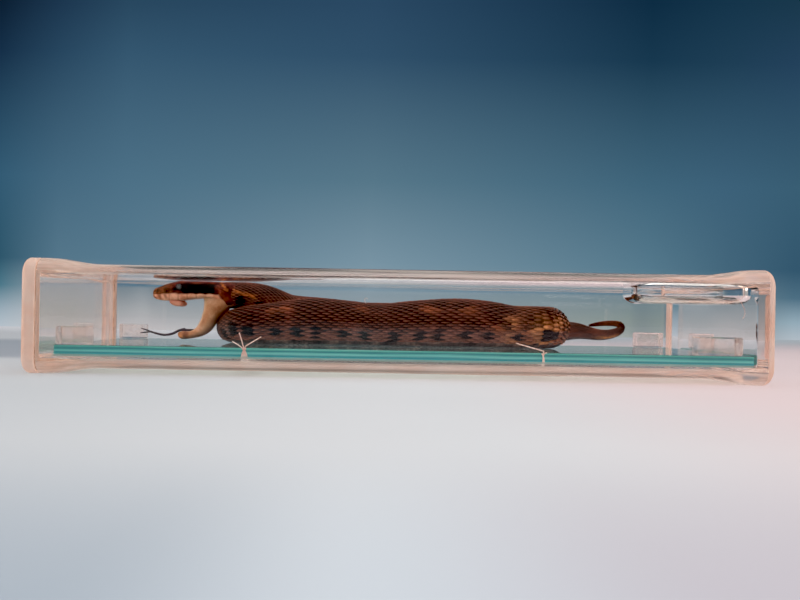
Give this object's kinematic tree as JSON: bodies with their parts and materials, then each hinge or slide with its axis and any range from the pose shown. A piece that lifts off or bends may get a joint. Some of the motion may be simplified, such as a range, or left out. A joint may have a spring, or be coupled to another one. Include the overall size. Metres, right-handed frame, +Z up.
{
  "type": "specimen jar",
  "caption": "Flat rectangular glass museum jar lying on its back, with a sealed lid plate and a coiled viper tied to a glass back plate that slides out of the mouth.",
  "frame": {"origin": "centre of the bounding box, at the level of the flared ends it rests on", "axes": "+X along the jar from its mouth and lid to its closed base, +Y across the broad face, away from the side it is shown from, +Z up with the jar lying on its back"},
  "size_m": [0.3, 0.1444, 0.0464],
  "materials": {
    "jar_glass": "clear old pressed glass, faintly peach at the thick edges",
    "lid_glass": "ground and polished glass, peach at the edges",
    "sealant": "thin translucent sealing compound",
    "float_glass": "clear float glass, teal through its cut edge",
    "clear_glass": "clear cut glass",
    "snake_skin": "wet keeled scales, dark brown with black blotches",
    "snake_mouth_skin": "smooth tan stretched skin",
    "snake_gum": "wet pink flesh",
    "snake_tongue": "dark wet flesh",
    "snake_eye": "clouded grey eye",
    "cotton_thread": "white cotton sewing thread"
  },
  "bodies": {
    "jar": {"jar_body": "jar_glass"},
    "mount": {"back_plate": "float_glass", "corner_block_mouth_near": "clear_glass", "corner_block_mouth_far": "clear_glass", "corner_block_base_near": "clear_glass", "corner_block_base_far": "clear_glass", "snake_body": "snake_skin", "snake_head": "snake_skin", "snake_lower_jaw": "snake_mouth_skin", "snake_tongue": "snake_tongue", "snake_fang_sheath_near": "snake_gum", "snake_fang_sheath_far": "snake_gum", "snake_eye_near": "snake_eye", "snake_eye_far": "snake_eye", "tie_thread_head_end": "cotton_thread", "tie_thread_tail_end": "cotton_thread"},
    "lid": {"lid_plate": "lid_glass", "lid_seal": "sealant"}
  },
  "joints": [
    {"name": "mount_slide", "type": "slide", "parent": "jar", "child": "mount", "axis": [-1, 0, 0], "range_m": [0, 0.295]},
    {"name": "lid_slide", "type": "slide", "parent": "mount", "child": "lid", "axis": [-1, 0, 0], "range_m": [0, 0.08]}
  ]
}
